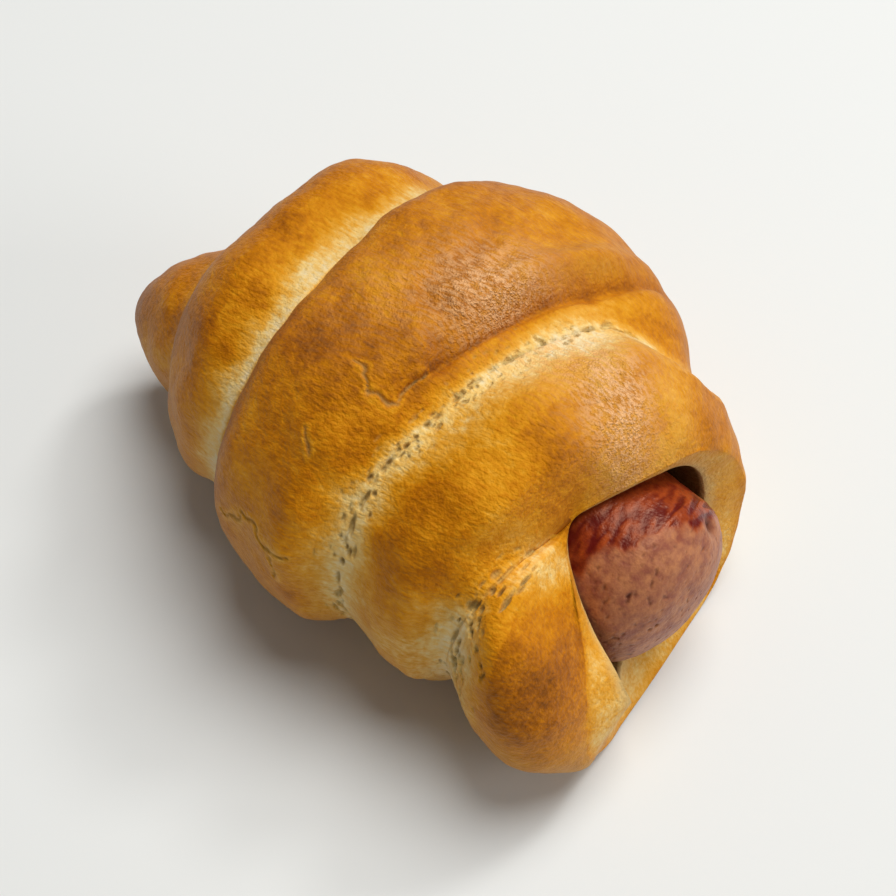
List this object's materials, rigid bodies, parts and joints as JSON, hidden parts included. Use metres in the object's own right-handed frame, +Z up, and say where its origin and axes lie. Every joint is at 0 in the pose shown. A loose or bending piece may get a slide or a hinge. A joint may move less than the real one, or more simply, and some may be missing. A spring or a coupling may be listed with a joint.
{
  "type": "sausage pastry",
  "caption": "Baked bun of soft dough wound in a spiral round a thick sausage, closed at the tail and open at the front where the sausage shows.",
  "frame": {"origin": "on the surface that the roll lies on, under the middle of its box", "axes": "+X along the roll towards the open end, where the sausage shows; +Z up; the strip's tucked start is on the -Y side"},
  "size_m": [0.0982, 0.0748, 0.0518],
  "materials": {
    "crust": "egg-washed baked dough, golden to brown, cream where the turns meet",
    "meat": "cooked sausage, moist and red-brown on top, pink-brown on the end"
  },
  "bodies": {
    "root": {"dough": "crust", "sausage": "meat"}
  },
  "joints": []
}
